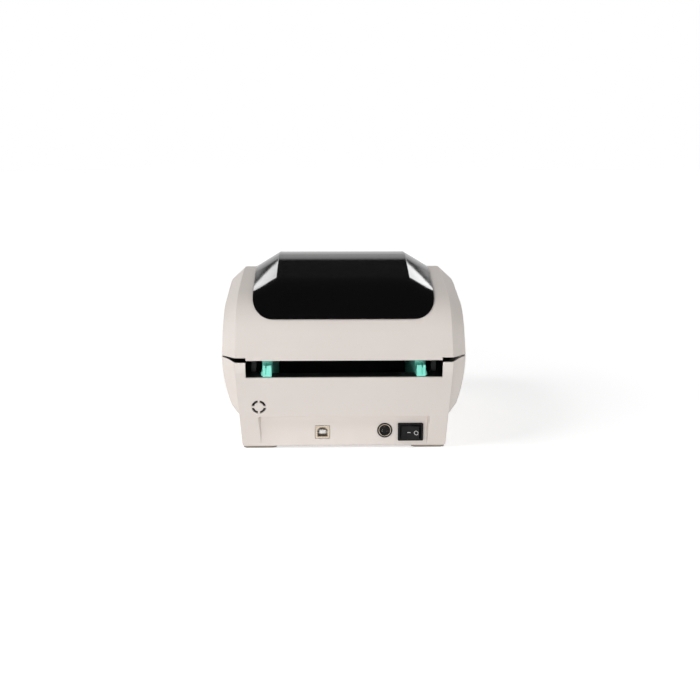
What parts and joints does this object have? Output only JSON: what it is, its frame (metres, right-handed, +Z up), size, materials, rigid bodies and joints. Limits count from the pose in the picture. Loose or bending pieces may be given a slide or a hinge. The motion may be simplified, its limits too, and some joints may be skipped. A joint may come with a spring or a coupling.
{
  "type": "thermal label printer",
  "caption": "Desktop thermal label printer with a hinged lid over a roll bay, sliding roll guides, a sprung print head on a geared platen, and a rear socket recess.",
  "frame": {"origin": "middle of the footprint, on the surface that the feet stand on", "axes": "+Z up, +Y to the rear with the sockets, +X to the printer's right as the user faces its front"},
  "size_m": [0.2, 0.2216, 0.1503],
  "materials": {
    "white_plastic": "satin",
    "window_plastic": "polished",
    "black_plastic": "fine texture",
    "mint_plastic": "satin",
    "grey_plastic": "satin",
    "natural_nylon": "satin",
    "white_nylon": "satin",
    "switch_black": "satin",
    "foot_rubber": "matte",
    "platen_rubber": "ground",
    "steel": "zinc plated",
    "dark_steel": "black coat",
    "nickel": "bright",
    "bronze": "sintered",
    "aluminium": "extruded",
    "head_ceramic": "glazed",
    "board_laminate": "solder mask",
    "light_guide": "clear moulded"
  },
  "bodies": {
    "base": {"lower_housing": "white_plastic", "bottom_plate": "white_plastic", "bottom_screws": "steel", "rubber_feet": "foot_rubber", "media_bay": "black_plastic", "hinge_brackets": "black_plastic", "hinge_pins": "steel", "main_board": "board_laminate", "usb_socket_shell": "nickel", "usb_socket_tongue": "white_nylon", "power_socket_body": "switch_black", "power_socket_ring": "nickel", "power_socket_insert": "switch_black", "switch_frame": "switch_black", "buzzer": "black_plastic", "side_plate": "steel", "drive_plate": "steel", "platen_bushes": "bronze", "motor_body": "dark_steel", "idler_pin": "steel", "paper_guide": "black_plastic", "media_sensor": "black_plastic", "exit_bezel": "black_plastic", "tear_bar": "steel", "key_board": "board_laminate", "status_light": "light_guide"},
    "lid": {"lid_shell": "white_plastic", "window": "window_plastic", "lid_frame": "black_plastic", "latch_studs": "steel", "head_pivot_pins": "steel", "head_springs": "steel"},
    "head": {"print_head": "head_ceramic", "heat_sink": "aluminium", "head_bracket": "steel"},
    "platen": {"platen_roller": "platen_rubber", "platen_shaft": "steel", "platen_gear": "natural_nylon"},
    "idler": {"idler_gear": "natural_nylon"},
    "rotor": {"motor_rotor": "steel"},
    "left_guide": {"roll_guide_left": "mint_plastic"},
    "right_guide": {"roll_guide_right": "mint_plastic"},
    "left_hub": {"roll_hub_left": "grey_plastic"},
    "right_hub": {"roll_hub_right": "grey_plastic"},
    "pinion": {"guide_pinion": "natural_nylon"},
    "rocker": {"switch_rocker": "switch_black"},
    "latch": {"lid_latch": "mint_plastic"},
    "button": {"feed_button": "mint_plastic"}
  },
  "joints": [
    {"name": "lid_hinge", "type": "hinge", "parent": "base", "child": "lid", "pos_m": [0, 0.096, 0.086], "axis": [-1, 0, 0], "range_deg": [0, 85]},
    {"name": "head_pivot", "type": "hinge", "parent": "lid", "child": "head", "pos_m": [0, -0.06, 0.088], "axis": [-1, 0, 0], "range_deg": [0, 3], "stiffness_Nm_per_rad": 4, "springref_deg": -5.73, "deforming": ["head_springs"]},
    {"name": "platen_spin", "type": "hinge", "parent": "base", "child": "platen", "pos_m": [0, -0.082, 0.07], "axis": [1, 0, 0], "continuous": true},
    {"name": "idler_spin", "type": "hinge", "parent": "base", "child": "idler", "pos_m": [0, -0.05928, 0.05504], "axis": [1, 0, 0], "continuous": true},
    {"name": "rotor_spin", "type": "hinge", "parent": "base", "child": "rotor", "pos_m": [0, -0.062, 0.032], "axis": [1, 0, 0], "continuous": true},
    {"name": "left_guide_slide", "type": "slide", "parent": "base", "child": "left_guide", "axis": [-1, 0, 0], "range_m": [0, 0.0465]},
    {"name": "right_guide_slide", "type": "slide", "parent": "base", "child": "right_guide", "axis": [1, 0, 0], "range_m": [0, 0.0465]},
    {"name": "pinion_spin", "type": "hinge", "parent": "base", "child": "pinion", "pos_m": [0, 0.025, 0.0069], "axis": [0, 0, 1], "range_deg": [0, 340]},
    {"name": "left_hub_spin", "type": "hinge", "parent": "left_guide", "child": "left_hub", "pos_m": [0.0542, 0.025, 0.078], "axis": [1, 0, 0], "continuous": true},
    {"name": "right_hub_spin", "type": "hinge", "parent": "right_guide", "child": "right_hub", "pos_m": [-0.0542, 0.025, 0.078], "axis": [1, 0, 0], "continuous": true},
    {"name": "rocker_tilt", "type": "hinge", "parent": "base", "child": "rocker", "pos_m": [-0.0553, 0.0978, 0.0141], "axis": [0, 0, 1], "range_deg": [0, 18]},
    {"name": "latch_swing", "type": "hinge", "parent": "base", "child": "latch", "pos_m": [0, -0.086, 0.047], "axis": [1, 0, 0], "range_deg": [0, 5], "stiffness_Nm_per_rad": 1, "springref_deg": -5.73},
    {"name": "button_press", "type": "slide", "parent": "base", "child": "button", "axis": [0, 1, 0], "range_m": [0, 0.001], "stiffness_N_per_m": 600, "springref_m": -0.001}
  ],
  "couplings": [
    {"joint": "idler_spin", "follows": "platen_spin", "ratio": -0.54545},
    {"joint": "rotor_spin", "follows": "platen_spin", "ratio": 1.7143},
    {"joint": "right_guide_slide", "follows": "left_guide_slide", "ratio": 1},
    {"joint": "pinion_spin", "follows": "left_guide_slide", "rad_per_m": 125}
  ]
}
